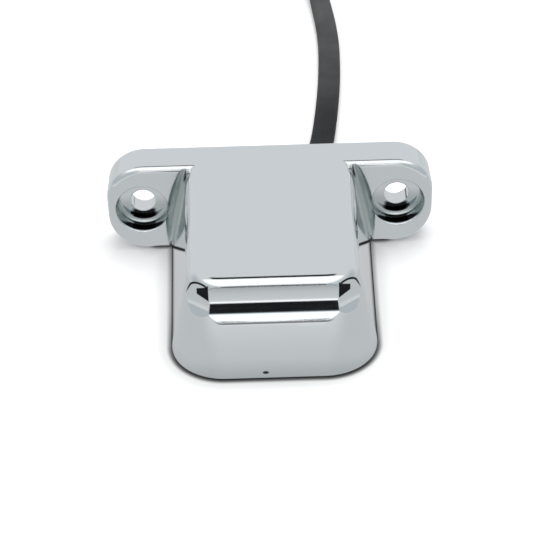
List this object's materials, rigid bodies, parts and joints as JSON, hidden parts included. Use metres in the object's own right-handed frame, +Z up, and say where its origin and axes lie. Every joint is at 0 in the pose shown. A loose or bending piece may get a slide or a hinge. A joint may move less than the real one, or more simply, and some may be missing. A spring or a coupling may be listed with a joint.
{
  "type": "number plate lamp",
  "caption": "Compact chromed number plate lamp with a stepped nose, two screw ears, a lens in its underside and a flat black lead from its back.",
  "frame": {"origin": "middle of the flat mounting face, on the line between the two screw holes", "axes": "+X along the two ears, +Y out of the mounting face into the vehicle, +Z up, away from the lens"},
  "size_m": [0.0757, 0.2136, 0.0196],
  "materials": {
    "chrome": "bright chrome plating on die-cast zinc",
    "lens": "clear moulded lens, lightly frosted inside",
    "seal": "soft black foam rubber",
    "board": "white solder mask",
    "led": "white package with a yellow phosphor face",
    "chip": "black moulded chip",
    "screw": "zinc-plated steel",
    "core_dark": "black soft insulation",
    "core_light": "white soft insulation",
    "solder": "tinned copper strands and solder",
    "resin": "black potting resin",
    "grommet": "moulded black rubber",
    "sheath": "soft black sheath with a satin face",
    "tie": "black band"
  },
  "bodies": {
    "root": {"housing": "chrome", "lens": "lens", "lens_seal": "seal", "circuit_board": "board", "led_1": "led", "led_2": "led", "led_3": "led", "resistor_1": "chip", "resistor_2": "chip", "diode": "chip", "board_screw_1": "screw", "board_screw_2": "screw", "core_black": "core_dark", "core_white": "core_light", "solder_joint_1": "solder", "solder_joint_2": "solder", "potting": "resin", "cable_grommet": "grommet", "lead": "sheath", "lead_coil": "sheath", "core_end_black": "core_dark", "core_end_white": "core_light", "bare_tip_black": "solder", "bare_tip_white": "solder", "coil_tie_1": "tie", "coil_tie_2": "tie", "coil_tie_3": "tie"}
  },
  "joints": []
}
